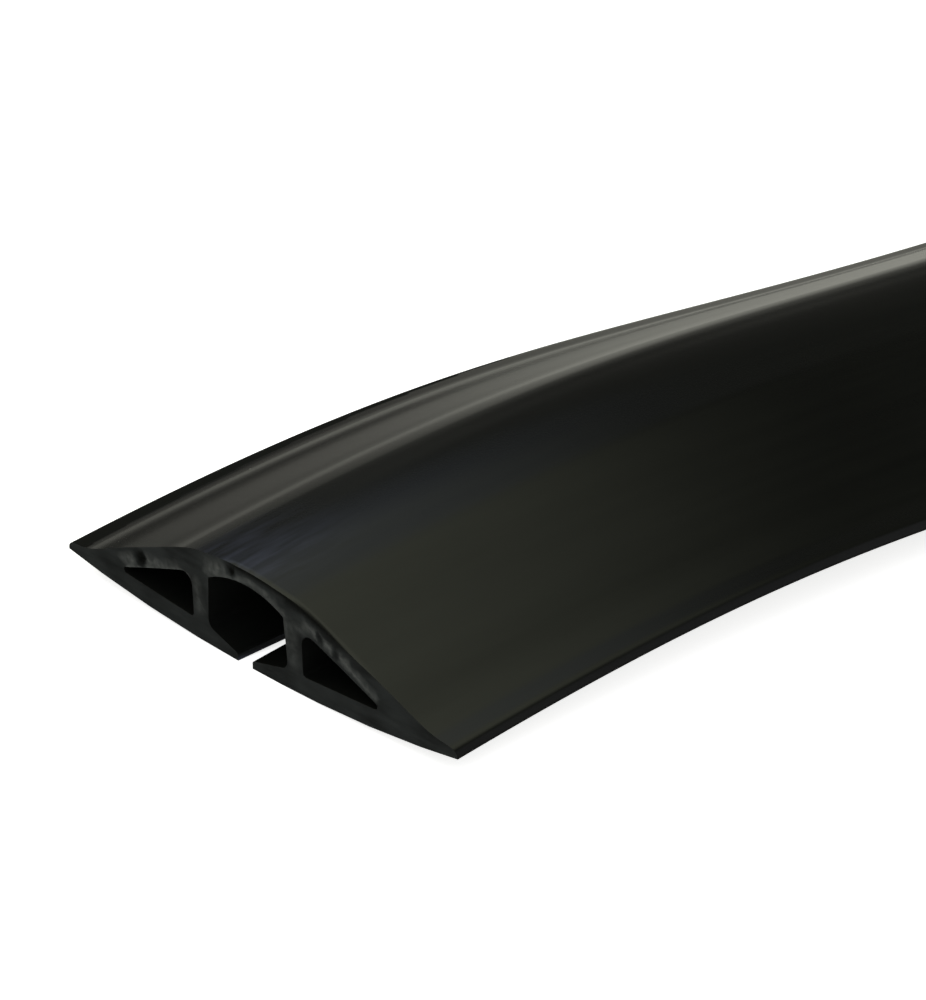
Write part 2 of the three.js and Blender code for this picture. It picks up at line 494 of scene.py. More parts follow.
@dataclass(frozen=True)
class Rubber(Finish):
    """What the finishes of the rubber share: two near blacks, and patterns in real millimetres.

    The gloss is the specular level of the rubber itself, and the relief's depth is in millimetres.
    """

    dark: str
    light: str
    roughness: float = 0.8
    gloss: float = 0.2
    ior: float = 1.5
    relief_strength: float = 0.3
    relief_depth: float = 0.06

    @staticmethod
    def pattern(tree: Tree, size: float, grain: Grain, detail: float) -> Node:
        """A noise pattern on Object coordinates.

        Args:
            tree: The material's node tree.
            size: The pattern's own size in millimetres.
            grain: Which way it is drawn out.
            detail: How many finer octaves it has.

        Returns:
            The noise, from 0 to 1.
        """
        coordinates = add(tree, "ShaderNodeTexCoord").outputs["Object"]
        placed = add(tree, "ShaderNodeMapping", {"Vector": coordinates, "Scale": grain.value})
        return add(tree, "ShaderNodeTexNoise", (placed, 1 / (size * MM), detail))

    def shade(self, tree: Tree, body: Node, relief: Node, **film: float) -> None:
        """Puts the rubber's shader on the material.

        Args:
            tree: The material's node tree.
            body: Its colour.
            relief: The height of its fine relief.
            **film: Values of the film on top, if it has one.
        """
        bump = {"Height": relief, "Strength": self.relief_strength, "Distance": self.relief_depth * MM}
        values = {
            "Base Color": body,
            "Roughness": self.roughness,
            "IOR": self.ior,
            "Specular IOR Level": self.gloss,
            "Normal": add(tree, "ShaderNodeBump", bump),
        }
        values |= {f"Coat {name}": value for name, value in film.items()}
        shader = add(tree, "ShaderNodeBsdfPrincipled", values)
        add(tree, "ShaderNodeOutputMaterial", {"Surface": shader})


@dataclass(frozen=True)
class ExtrudedRubber(Rubber):
    """Black rubber as it left the die: satin under a thin even film, with faint lines along its length.

    Near the cut a painted bluish reflection with pale streaks lies on the crown, and a few specks of dust are
    pressed into it. The real grit is too fine to show, so it is drawn coarser, at 0.35 mm.
    """

    dark: str = "#0a0b09"
    light: str = "#10110e"
    roughness: float = 0.55
    gloss: float = 0.05
    relief_strength: float = 0.25
    relief_depth: float = 0.04
    film_weight: float = 0.7
    film_roughness: float = 0.12
    film_ior: float = 1.4
    line_size: float = 1.6
    cloud_size: float = 24.0
    cloud_range: tuple[float, float] = (0.12, 0.42)
    grit_size: float = 0.35
    # A painted reflection: the bluish light that the crown mirrors near the cut.
    painted_sheen: str = "#282a33"
    painted_sheen_length: float = 15.0
    painted_sheen_middle: float = -2.0
    painted_sheen_width: tuple[float, float] = (2.0, 9.0)
    streak_size: float = 0.9
    streak_range: tuple[float, float] = (0.4, 0.68)
    streak_least: float = 0.12
    speck: str = "#4a4a44"
    speck_spacing: float = 17.0
    speck_radius: tuple[float, float] = (0.006, 0.016)

    def material(self, near_y: float) -> Material:
        """Makes the material.

        Args:
            near_y: Where the near end lies, in metres.

        Returns:
            The material.
        """
        material, tree = self.start()
        lines = self.pattern(tree, self.line_size, Grain.LENGTHWISE, detail=2.0)
        cloud = self.pattern(tree, self.cloud_size, Grain.EVEN, detail=3.0)
        clouded = add(tree, "ShaderNodeMath", (lines, cloud), operation="MULTIPLY")
        tone = add(tree, "ShaderNodeMapRange", (clouded, *self.cloud_range))
        body = add(tree, "ShaderNodeMix", (tone, linear(self.dark), linear(self.light)), data_type="RGBA")

        # A painted bluish reflection lies on the crown near the cut end, broken into streaks, and fades out
        # round it.
        soft = {"interpolation_type": "SMOOTHSTEP"}
        coordinates = add(tree, "ShaderNodeTexCoord").outputs["Object"]
        place = add(tree, "ShaderNodeSeparateXYZ", (coordinates,)).outputs
        end = near_y + self.painted_sheen_length * MM
        near = add(tree, "ShaderNodeMapRange", (place["Y"], near_y, end, 1, 0), **soft)
        aside = add(tree, "ShaderNodeMath", (place["X"], self.painted_sheen_middle * MM), operation="SUBTRACT")
        aside = add(tree, "ShaderNodeMath", (aside,), operation="ABSOLUTE")
        full, gone = self.painted_sheen_width
        crown = add(tree, "ShaderNodeMapRange", (aside, full * MM, gone * MM, 1, 0), **soft)
        streaks = self.pattern(tree, self.streak_size, Grain.STREAK, detail=3.0)
        streaks = add(tree, "ShaderNodeMapRange", (streaks, *self.streak_range, self.streak_least))
        painted_sheen = add(tree, "ShaderNodeMath", (near, crown), operation="MULTIPLY")
        painted_sheen = add(tree, "ShaderNodeMath", (painted_sheen, streaks), operation="MULTIPLY")
        body = add(tree, "ShaderNodeMix", (painted_sheen, body, linear(self.painted_sheen)), data_type="RGBA")

        # One speck lies in each cell of a pattern, and its radius is a small part of the cell's size.
        cells = add(tree, "ShaderNodeTexVoronoi", (coordinates, 1 / (self.speck_spacing * MM)))
        dust = add(tree, "ShaderNodeMapRange", (cells, *self.speck_radius, 1, 0), **soft)
        body = add(tree, "ShaderNodeMix", (dust, body, linear(self.speck)), data_type="RGBA")
        grit = self.pattern(tree, self.grit_size, Grain.EVEN, detail=2.0)
        film = {"Weight": self.film_weight, "Roughness": self.film_roughness, "IOR": self.film_ior}
        self.shade(tree, body, grit, **film)
        return material


@dataclass(frozen=True)
class InnerRubber(Rubber):
    """The same rubber inside the cells and the channel, and along the back edge: dull and blacker; inside,
    the blacker colour is painted shade.
    """

    # Blacker than the skin: painted shade in the hollows, and a darker back edge.
    dark: str = "#050605"
    light: str = "#0b0c0a"
    line_size: float = 1.2

    def material(self) -> Material:
        """Makes the material."""
        material, tree = self.start()
        lines = self.pattern(tree, self.line_size, Grain.LENGTHWISE, detail=3.0)
        body = add(tree, "ShaderNodeMix", (lines, linear(self.dark), linear(self.light)), data_type="RGBA")
        self.shade(tree, body, lines)
        return material


@dataclass(frozen=True)
class CutRubber(Rubber):
    """The same rubber where a blade went through it: matt and greyer, with drag marks, pale rims that are
    partly a painted highlight, and painted shade along the rolled edge.
    """

    dark: str = "#131514"
    light: str = "#212423"
    roughness: float = 0.75
    gloss: float = 0.3
    relief_strength: float = 0.5
    relief_depth: float = 0.1
    mark_size: float = 1.1
    cloud_size: float = 5.0
    mottle_range: tuple[float, float] = (0.75, 1.25)
    # The rims' colour: pale rubber, and partly a painted highlight.
    rim: str = "#454744"
    ragged_size: float = 0.6
    ragged_range: tuple[float, float] = (0.3, 0.6)
    ragged_least: float = 0.45
    # Dark for the nicks, and painted shade along the rolled edge.
    nick_and_shade: str = "#070806"

    def material(self) -> Material:
        """Makes the material."""
        material, tree = self.start()
        marks = self.pattern(tree, self.mark_size, Grain.ACROSS_THE_CUT, detail=4.0)
        cloud = self.pattern(tree, self.cloud_size, Grain.EVEN, detail=3.0)
        mottle = add(tree, "ShaderNodeMath", (marks, cloud), operation="ADD")
        mottle = add(tree, "ShaderNodeMapRange", (mottle, *self.mottle_range))
        body = add(tree, "ShaderNodeMix", (mottle, linear(self.dark), linear(self.light)), data_type="RGBA")

        # The tears' attribute is above 0 on pale rims, which are partly a painted highlight, and below 0 in
        # dark nicks and along the rolled edge, where its darkness is painted shade.
        torn_and_shaded = add(tree, "ShaderNodeAttribute", attribute_name="torn_and_shaded").outputs["Fac"]
        ragged = self.pattern(tree, self.ragged_size, Grain.EVEN, detail=3.0)
        ragged = add(tree, "ShaderNodeMapRange", (ragged, *self.ragged_range, self.ragged_least))
        pale = add(tree, "ShaderNodeMath", (torn_and_shaded, ragged), operation="MULTIPLY", use_clamp=True)
        body = add(tree, "ShaderNodeMix", (pale, body, linear(self.rim)), data_type="RGBA")
        nicks_and_shade = add(tree, "ShaderNodeMath", (torn_and_shaded, -1.0), operation="MULTIPLY", use_clamp=True)
        body = add(tree, "ShaderNodeMix", (nicks_and_shade, body, linear(self.nick_and_shade)), data_type="RGBA")
        self.shade(tree, body, marks)
        return material


@dataclass(frozen=True)
class StudioFloor(Finish):
    """A matt white studio floor, lit a little from below, with hardly any tone of its own."""

    colour: str = "#f5f5f4"
    roughness: float = 0.9
    glow: float = 0.85

    def material(self) -> Material:
        """Makes the material."""
        material, tree = self.start()
        white = linear(self.colour)
        values = {
            "Base Color": white,
            "Roughness": self.roughness,
            "Emission Color": white,
            "Emission Strength": self.glow,
        }
        add(tree, "ShaderNodeOutputMaterial", {"Surface": add(tree, "ShaderNodeBsdfPrincipled", values)})
        return material


# ---- the strip


@dataclass
class CutFace:
    """The flat face of a cut end, in the XY plane, with what the blade did to it, and painted shade along the
    rolled edge, as attributes of its points.

    Lengths are in millimetres. It is filled with points along its outlines and the tears, and on a grid.
    """

    section: Section
    ring_inset: float = 0.3
    ring_room: float = 0.24
    tear_room: float = 0.2
    grid: float = 0.9
    grid_room: float = 0.54
    rolled_drop: float = 0.1
    rolled_painted_shade: float = 1.3
    nick_darkness: float = 1.2
    raggedness: float = 0.9
    ragged_size: float = 1 / 1.7
    dull_edge: float = 3.15
    dull_taper: float = 2.6
    flap_closing: float = 1.1
    off_floor: float = 0.01
    merge_distance: float = 0.000001

    def __post_init__(self) -> None:
        """Starts with the outlines' own points."""
        self.loops = self.section.loops()
        self.points = [point for loop in self.loops for point in loop]
        self.solid = len(self.points)

    def within(self, point: Point) -> bool:
        """Whether a point lies in the rubber, and not in a side cell."""
        return inside(point, self.loops[0]) and not any(inside(point, cell) for cell in self.loops[1:])

    def keep(self, point: Point, room: float) -> None:
        """Adds an inner point if it has room.

        Args:
            point: The point to add.
            room: How far it has to be from the outlines and from other inner points.
        """
        if not self.within(point) or min(distance(point, loop) for loop in self.loops) < room:
            return
        if all(math.dist(point, other) >= room for other in self.points[self.solid :]):
            self.points.append(point)

    def fill(self) -> None:
        """Adds the inner points: a ring along each outline, the tears' own, and the grid."""
        for loop in self.loops:
            for i, (x, z) in enumerate(loop):
                before, after = Vector(loop[i - 1]), Vector(loop[(i + 1) % len(loop)])
                along = (after - before).normalized() * self.ring_inset
                for side in (-1, 1):
                    self.keep((x + side * along.y, z - side * along.x), self.ring_room)
        for tear in TEARS:
            for point in tear.places():
                self.keep(point, self.tear_room)
        for row in range(int(self.section.height / self.grid) + 1):
            first = (row % 2) / 2 * self.grid - self.section.half_width
            for column in range(int(self.section.width / self.grid) + 1):
                self.keep((first + column * self.grid, (row + 0.5) * self.grid), self.grid_room)

    def mesh(self) -> Mesh:
        """Builds the face.

        Returns:
            A mesh whose boundary is the section, in metres.
        """
        edges: list[tuple[int, int]] = []
        for loop in self.loops:
            first, count = len(edges), len(loop)
            edges += [(first + i, first + (i + 1) % count) for i in range(count)]
        self.fill()
        corners = [Vector(point) for point in self.points]
        found = geometry.delaunay_2d_cdt(corners, edges, [], 1, self.merge_distance)
        vertices, faces = found[0], found[2]
        middles = [sum((vertices[i] for i in face), Vector((0, 0))) / len(face) for face in faces]
        kept = [tuple(face) for face, middle in zip(faces, middles) if self.within(middle)]
        mesh = bpy.data.meshes.new("cut_section")
        mesh.from_pydata([(v.x * MM, v.y * MM, 0) for v in vertices], [], kept)
        self.mark(mesh, [(v.x, v.y) for v in vertices])
        return mesh

    def mark(self, mesh: Mesh, places: list[Point]) -> None:
        """Writes the attributes: what the blade did to each point, the painted shade along the rolled edge,
        and which walls the sweep makes dull.

        Args:
            mesh: The face.
            places: Its points in millimetres, the outlines' first.
        """
        section = self.section
        rows: list[dict[str, float]] = []
        for index, (x, z) in enumerate(places):
            ragged = 1.0 + self.raggedness * noise.noise(Vector((x, z, 0.0)) / self.ragged_size)
            pale = max(tear.pale * tear.share(x, z) for tear in TEARS if tear.pale > 0)
            dark = min(tear.pale * tear.share(x, z) for tear in TEARS if tear.pale < 0)
            proud = sum(tear.proud * tear.share(x, z) for tear in TEARS)
            rolled = section.rolled(x, z)
            # The rolled edge's darkness is painted shade, and the rims' paleness is partly a painted
            # highlight.
            row = {
                "torn_and_shaded": pale * ragged + dark * self.nick_darkness - rolled * self.rolled_painted_shade,
                "proud": proud * ragged * MM,
                "inner": 0.0,
                "dull": 0.0,
                "rolled": 0.0,
                "flap": section.left_flap(x, z) * self.flap_closing * MM,
            }
            if index < self.solid:
                row["inner"] = float(section.on_wall(x, z))
                row["rolled"] = rolled * self.rolled_drop * MM
                if z > self.off_floor:
                    row["dull"] = clamped((self.dull_edge - section.half_width - x) / self.dull_taper)
            rows.append(row)
        for name in rows[0]:
            attribute = mesh.attributes.new(name, "FLOAT", "POINT")
            attribute.data.foreach_set("value", [row[name] for row in rows])


@dataclass
class BentStrip:
    """The node tree that sweeps the cut face into the strip, and lifts and cups its first stretch."""

    skin: Material
    inner: Material
    cut: Material
    station_spread: float = 1.5
    curve_resolution: int = 200
    end_reach: float = 0.00002
    weld: float = 0.000004
    dull_from: float = 0.6

    LENGTHS = ("Length", "Near End", "Rise Length", "Rise Lead", "Rise Tail", "Lead Height", "Cup Depth",
               "Cup Exponent", "Half Width", "Flap Run", "Dull Length")
    COUNTS = ("Stations", "Rise Stations")

    def build(self) -> Tree:
        """Builds the tree.

        Returns:
            The tree, with a named input for each size.
        """
        self.tree = bpy.data.node_groups.new("bent_strip", "GeometryNodeTree")
        face = self.tree.interface
        face.new_socket("Geometry", in_out="INPUT", socket_type="NodeSocketGeometry")
        for names, kind in ((self.LENGTHS, "NodeSocketFloat"), (self.COUNTS, "NodeSocketInt")):
            for name in names:
                face.new_socket(name, in_out="INPUT", socket_type=kind)
        face.new_socket("Geometry", in_out="OUTPUT", socket_type="NodeSocketGeometry")
        self.given = add(self.tree, "NodeGroupInput").outputs
        shape = self.bent(self.worked(self.closed(self.line())))
        add(self.tree, "NodeGroupOutput", (self.dressed(shape),))
        return self.tree

    def line(self) -> Node:
        """The line of the sweep: close stations at the near end, wider ones after the rise."""
        tree, given = self.tree, self.given
        index = add(tree, "GeometryNodeInputIndex")
        share = add(tree, "ShaderNodeMapRange", (index, 0.0, given["Rise Stations"]))
        spread = add(tree, "ShaderNodeMath", (share, self.station_spread), operation="POWER")
        rising = add(tree, "ShaderNodeMath", (spread, given["Rise Length"]), operation="MULTIPLY")
        rest = add(tree, "ShaderNodeMath", (given["Length"], given["Rise Length"]), operation="SUBTRACT")
        straight = (index, given["Rise Stations"], given["Stations"], 0.0, rest)
        straight = add(tree, "ShaderNodeMapRange", straight)
        station = add(tree, "ShaderNodeMath", (rising, straight), operation="ADD")
        station = add(tree, "ShaderNodeCombineXYZ", {"Y": station})
        count = add(tree, "ShaderNodeMath", (given["Stations"], 1.0), operation="ADD")
        line = add(tree, "GeometryNodeMeshLine", {"Count": count})
        line = add(tree, "GeometryNodeSetPosition", {"Geometry": line, "Position": station})
        return add(tree, "GeometryNodeMeshToCurve", (line,))

    def closed(self, path: Node) -> Node:
        """The skin swept from the cut face's boundary, closed by the two cut faces."""
        tree, given = self.tree, self.given
        faces_at_edge = add(tree, "GeometryNodeInputMeshEdgeNeighbors")
        boundary = add(tree, "FunctionNodeCompare", (faces_at_edge, 1), data_type="INT", operation="EQUAL")
        outline = add(tree, "GeometryNodeMeshToCurve", (given["Geometry"], boundary))
        turned = add(tree, "GeometryNodeTransform", {"Geometry": outline, "Scale": (1.0, -1.0, 1.0)})
        swept = add(tree, "GeometryNodeCurveToMesh", (path, turned))
        near = {"Geometry": given["Geometry"], "Rotation": (math.pi / 2, 0.0, 0.0)}
        near = add(tree, "GeometryNodeTransform", near)
        far_place = add(tree, "ShaderNodeCombineXYZ", {"Y": given["Length"]})
        far = add(tree, "GeometryNodeTransform", {"Geometry": near, "Translation": far_place})
        far = add(tree, "GeometryNodeFlipFaces", (far,))
        cuts = self.joined(far, near)
        parts = []
        told = {"data_type": "BOOLEAN", "domain": "FACE"}
        for part, is_cut in ((cuts, True), (swept, False)):
            values = {"Geometry": part, "Name": "is_cut", "Value": is_cut}
            parts.append(add(tree, "GeometryNodeStoreNamedAttribute", values, **told))
        whole = self.joined(*parts)
        return add(tree, "GeometryNodeMergeByDistance", {"Geometry": whole, "Distance": self.weld})

    def joined(self, *parts: Node) -> Node:
        """Several shapes as one."""
        whole = add(self.tree, "GeometryNodeJoinGeometry")
        for part in parts:
            self.tree.links.new(part.outputs[0], whole.inputs[0])
        return whole

    def stored(self, name: str, kind: str = "FLOAT") -> Node:
        """An attribute of the shape."""
        return add(self.tree, "GeometryNodeInputNamedAttribute", (name,), data_type=kind)

    def position(self) -> Outputs:
        """The place of each point, as X, Y and Z."""
        place = add(self.tree, "GeometryNodeInputPosition")
        return add(self.tree, "ShaderNodeSeparateXYZ", (place,)).outputs

    def worked(self, shape: Node) -> Node:
        """The cut ends worked: rims stand out, the crown's edge is rolled in, the slit closes a little."""
        tree, given, place = self.tree, self.given, self.position()
        last = add(tree, "ShaderNodeMath", (given["Length"], self.end_reach), operation="SUBTRACT")
        at_near = add(tree, "ShaderNodeMath", (place["Y"], self.end_reach), operation="LESS_THAN")
        at_far = add(tree, "ShaderNodeMath", (place["Y"], last), operation="GREATER_THAN")
        outward = add(tree, "ShaderNodeMath", (at_far, at_near), operation="SUBTRACT")
        at_end = add(tree, "ShaderNodeMath", (at_far, at_near), operation="ADD")
        closing = add(tree, "ShaderNodeMapRange", (place["Y"], 0.0, given["Flap Run"]))
        aside = add(tree, "ShaderNodeMath", (self.stored("flap"), closing), operation="MULTIPLY")
        proud = add(tree, "ShaderNodeMath", (self.stored("proud"), outward), operation="MULTIPLY")
        rolled = add(tree, "ShaderNodeMath", (self.stored("rolled"), at_end), operation="MULTIPLY")
        rolled = add(tree, "ShaderNodeMath", (rolled, -1.0), operation="MULTIPLY")
        offset = add(tree, "ShaderNodeCombineXYZ", (aside, proud, rolled))
        return add(tree, "GeometryNodeSetPosition", {"Geometry": shape, "Offset": offset})

    def bent(self, shape: Node) -> Node:
        """The bend: each point follows the rising line, and its height with the cup is square to it."""
        tree, given, place = self.tree, self.given, self.position()
        tail = add(tree, "ShaderNodeMath", (given["Rise Length"], given["Rise Tail"]), operation="SUBTRACT")
        lead = {"Y": given["Rise Lead"], "Z": given["Lead Height"]}
        rise = {
            "Resolution": self.curve_resolution,
            "Start": (0.0, 0.0, 0.0),
            "Start Handle": add(tree, "ShaderNodeCombineXYZ", lead),
            "End Handle": add(tree, "ShaderNodeCombineXYZ", {"Y": tail}),
            "End": add(tree, "ShaderNodeCombineXYZ", {"Y": given["Rise Length"]}),
        }
        rise = add(tree, "GeometryNodeCurvePrimitiveBezierSegment", rise)
        rise_run = add(tree, "GeometryNodeCurveLength", (rise,))
        run = add(tree, "ShaderNodeMath", (place["Y"], rise_run), operation="MINIMUM")
        sample = add(tree, "GeometryNodeSampleCurve", {"Curves": rise, "Length": run}, mode="LENGTH").outputs
        base = add(tree, "ShaderNodeSeparateXYZ", (sample["Position"],)).outputs
        along = add(tree, "ShaderNodeSeparateXYZ", (sample["Tangent"],)).outputs

        fading = (place["Y"], 0.0, rise_run, 1.0, 0.0)
        fading = add(tree, "ShaderNodeMapRange", fading, interpolation_type="SMOOTHSTEP")
        out = add(tree, "ShaderNodeMath", (place["X"],), operation="ABSOLUTE")
        out = add(tree, "ShaderNodeMath", (out, given["Half Width"]), operation="DIVIDE")
        out = add(tree, "ShaderNodeMath", (out, given["Cup Exponent"]), operation="POWER")
        cup = add(tree, "ShaderNodeMath", (given["Cup Depth"], out), operation="MULTIPLY")
        height = add(tree, "ShaderNodeMath", (cup, fading, place["Z"]), operation="MULTIPLY_ADD")

        beyond = add(tree, "ShaderNodeMath", (place["Y"], run), operation="SUBTRACT")
        straight_y = add(tree, "ShaderNodeMath", (base["Y"], beyond), operation="ADD")
        back = add(tree, "ShaderNodeMath", (height, along["Z"]), operation="MULTIPLY")
        bent_y = add(tree, "ShaderNodeMath", (straight_y, back), operation="SUBTRACT")
        bent_y = add(tree, "ShaderNodeMath", (bent_y, given["Near End"]), operation="ADD")
        bent_z = add(tree, "ShaderNodeMath", (height, along["Y"], base["Z"]), operation="MULTIPLY_ADD")
        bent = add(tree, "ShaderNodeCombineXYZ", (place["X"], bent_y, bent_z))
        return add(tree, "GeometryNodeSetPosition", {"Geometry": shape, "Position": bent})

    def dressed(self, shape: Node) -> Node:
        """The finishes: dull walls inside, painted blacker as shade, a dull, darker back edge that tapers
        off, and the two cuts.
        """
        tree, given = self.tree, self.given
        dull, y = self.stored("dull"), self.position()["Y"]
        from_end = add(tree, "ShaderNodeMath", (y, given["Near End"]), operation="SUBTRACT")
        dull_run = add(tree, "ShaderNodeMath", (dull, given["Dull Length"]), operation="MULTIPLY")
        on_dull_edge = add(tree, "ShaderNodeMath", (from_end, dull_run), operation="LESS_THAN")
        is_edge = add(tree, "ShaderNodeMath", (dull, 0.0), operation="GREATER_THAN")
        on_dull_edge = add(tree, "ShaderNodeMath", (on_dull_edge, is_edge), operation="MULTIPLY")
        dulled = add(tree, "ShaderNodeMath", (self.stored("inner"), on_dull_edge), operation="MAXIMUM")
        is_inner = (dulled, self.dull_from)
        is_inner = add(tree, "FunctionNodeCompare", is_inner, data_type="FLOAT", operation="GREATER_THAN")
        real = add(tree, "GeometryNodeRealizeInstances", (shape,))
        dressed = add(tree, "GeometryNodeSetMaterial", {"Geometry": real, "Material": self.skin})
        dressed = add(tree, "GeometryNodeSetMaterial", (dressed, is_inner, self.inner))
        return add(tree, "GeometryNodeSetMaterial", (dressed, self.stored("is_cut", "BOOLEAN"), self.cut))


@dataclass
class CordCover:
    """The strip: its section, the rise and cup of its first stretch, and its finishes, in millimetres."""

    section: Section = field(default_factory=Section)
    length: float = 1524.0
    rise_length: float = 182.0
    rise_angle: float = math.radians(7.8)
    rise_lead: float = 70.0
    rise_tail: float = 100.0
    cup_depth: float = 2.8
    cup_exponent: float = 2.2
    rise_stations: int = 90
    straight_stations: int = 60
    dull_length: float = 80.0
    flap_closing_length: float = 11.0
    sharp_angle: float = math.radians(38)
    skin: ExtrudedRubber = ExtrudedRubber("extruded_black_rubber")
    inner: InnerRubber = InnerRubber("dull_shaded_inner_rubber")
    cut: CutRubber = CutRubber("knife_cut_rubber")

    def near_y(self) -> float:
        """Where the underside's near end lies, in metres: the crown's end, at the box's side, is past it."""
        return CAD_BOX[0].y + self.section.height * MM * math.sin(self.rise_angle)

    def sizes(self) -> dict[str, float]:
        """The values of the node tree's inputs, with lengths in metres."""
        lengths = {
            "Length": self.length,
            "Rise Length": self.rise_length,
            "Rise Lead": self.rise_lead,
            "Rise Tail": self.rise_tail,
            "Lead Height": self.rise_lead * math.tan(self.rise_angle),
            "Cup Depth": self.cup_depth,
            "Half Width": self.section.half_width,
            "Flap Run": self.flap_closing_length,
            "Dull Length": self.dull_length,
        }
        return {name: length * MM for name, length in lengths.items()} | {
            "Near End": self.near_y(),
            "Cup Exponent": self.cup_exponent,
            "Stations": self.rise_stations + self.straight_stations,
            "Rise Stations": self.rise_stations,
        }

    @staticmethod
    def face_outwards(mesh: Mesh) -> None:
        """Turns every face outwards, because the sweep gives each outline's walls their own direction."""
        shell = bmesh.new()
        shell.from_mesh(mesh)
        bmesh.ops.recalc_face_normals(shell, faces=shell.faces)
        shell.to_mesh(mesh)
        shell.free()

    def build(self) -> bpy.types.Object:
        """Builds the strip as one plain mesh.

        Returns:
            The strip, at its place in the frame.
        """
        bend = BentStrip(self.skin.material(self.near_y()), self.inner.material(), self.cut.material())
        piece = bpy.data.objects.new("cover_strip_rubber", CutFace(self.section).mesh())
        bpy.context.scene.collection.objects.link(piece)
        modifier = piece.modifiers.new("bent_strip", "NODES")
        modifier.node_group = bend.build()
        sizes = self.sizes()
        for item in modifier.node_group.interface.items_tree:
            if item.in_out == "INPUT" and item.name in sizes:
                modifier[item.identifier] = sizes[item.name]
        evaluated = piece.evaluated_get(bpy.context.evaluated_depsgraph_get())
        mesh = bpy.data.meshes.new_from_object(evaluated)
        piece.modifiers.remove(modifier)
        piece.data = mesh
        self.face_outwards(mesh)
        mesh.shade_smooth()
        mesh.set_sharp_from_angle(angle=self.sharp_angle)
        LOG.info("strip: %d faces, %d points", len(mesh.polygons), len(mesh.vertices))
        return piece


# ---- the studio


@dataclass(frozen=True)
class Panel:
    """A soft light painted on the room's walls, where the rubber mirrors it.

    Angles are in degrees: azimuth turns from +Y towards -X, and elevation is above the floor. The slant is
    how much higher the panel hangs for each degree of azimuth.
    """

    azimuth: float
    elevation: float
    half_width: float
    half_height: float
    soft_width: float
    soft_height: float
    slant: float
    colour: str
    radiance: float

    def shine(self, tree: Tree, azimuth: Node, elevation: Node) -> Node:
        """Adds the panel's light.

        Args:
            tree: The world's node tree.
            azimuth: The direction's azimuth in degrees.
            elevation: The direction's elevation in degrees.

        Returns:
            The panel's colour in that direction.
        """
        across = add(tree, "ShaderNodeMath", (azimuth, self.azimuth), operation="SUBTRACT")
        lift = add(tree, "ShaderNodeMath", (across, self.slant, self.elevation), operation="MULTIPLY_ADD")
        above = add(tree, "ShaderNodeMath", (elevation, lift), operation="SUBTRACT")
        shares = []
        for off, half, soft in (
            (across, self.half_width, self.soft_width),
            (above, self.half_height, self.soft_height),
        ):
            size = add(tree, "ShaderNodeMath", (off,), operation="ABSOLUTE")
            fading = (size, half - soft, half + soft, 1.0, 0.0)
            shares.append(add(tree, "ShaderNodeMapRange", fading, interpolation_type="SMOOTHSTEP"))
        share = add(tree, "ShaderNodeMath", shares, operation="MULTIPLY")
        light = [part * self.radiance for part in linear(self.colour)[:3]]
        return add(tree, "ShaderNodeVectorMath", (light, share), operation="SCALE")


PANELS = (
    # Low in the back, where the back slope mirrors them: a long slanted panel, and a brighter one under it.
    Panel(46.0, -3.3, 120.0, 11.6, 25.3, 2.8, 0.77, "#fffff1", 0.166),
    Panel(40.6, -19.6, 13.7, 10.8, 6.5, 8.0, 1.9, "#fffff1", 0.312),
    # High up, where the front slope and the crown mirror them: a wide warm one, and a bluish one beside it.
    Panel(33.4, 75.8, 97.0, 18.6, 20.0, 20.3, -0.22, "#faffe3", 1.4),
    Panel(67.1, 38.5, 10.9, 7.0, 29.6, 14.9, -0.25, "#dce8ff", 1.14),
    # A narrow strip light beside the long panel.
    Panel(56.6, -2.2, 11.0, 0.5, 13.1, 0.8, 0.74, "#fffff1", 0.551),
    # Two round the other sides, for the views from there.
    Panel(-42.0, 18.0, 30.0, 32.0, 15.0, 14.0, 0.0, "#f0f0ff", 0.25),
    Panel(-130.0, 42.0, 48.0, 16.0, 14.0, 12.0, 0.0, "#f4f6ff", 0.45),
)


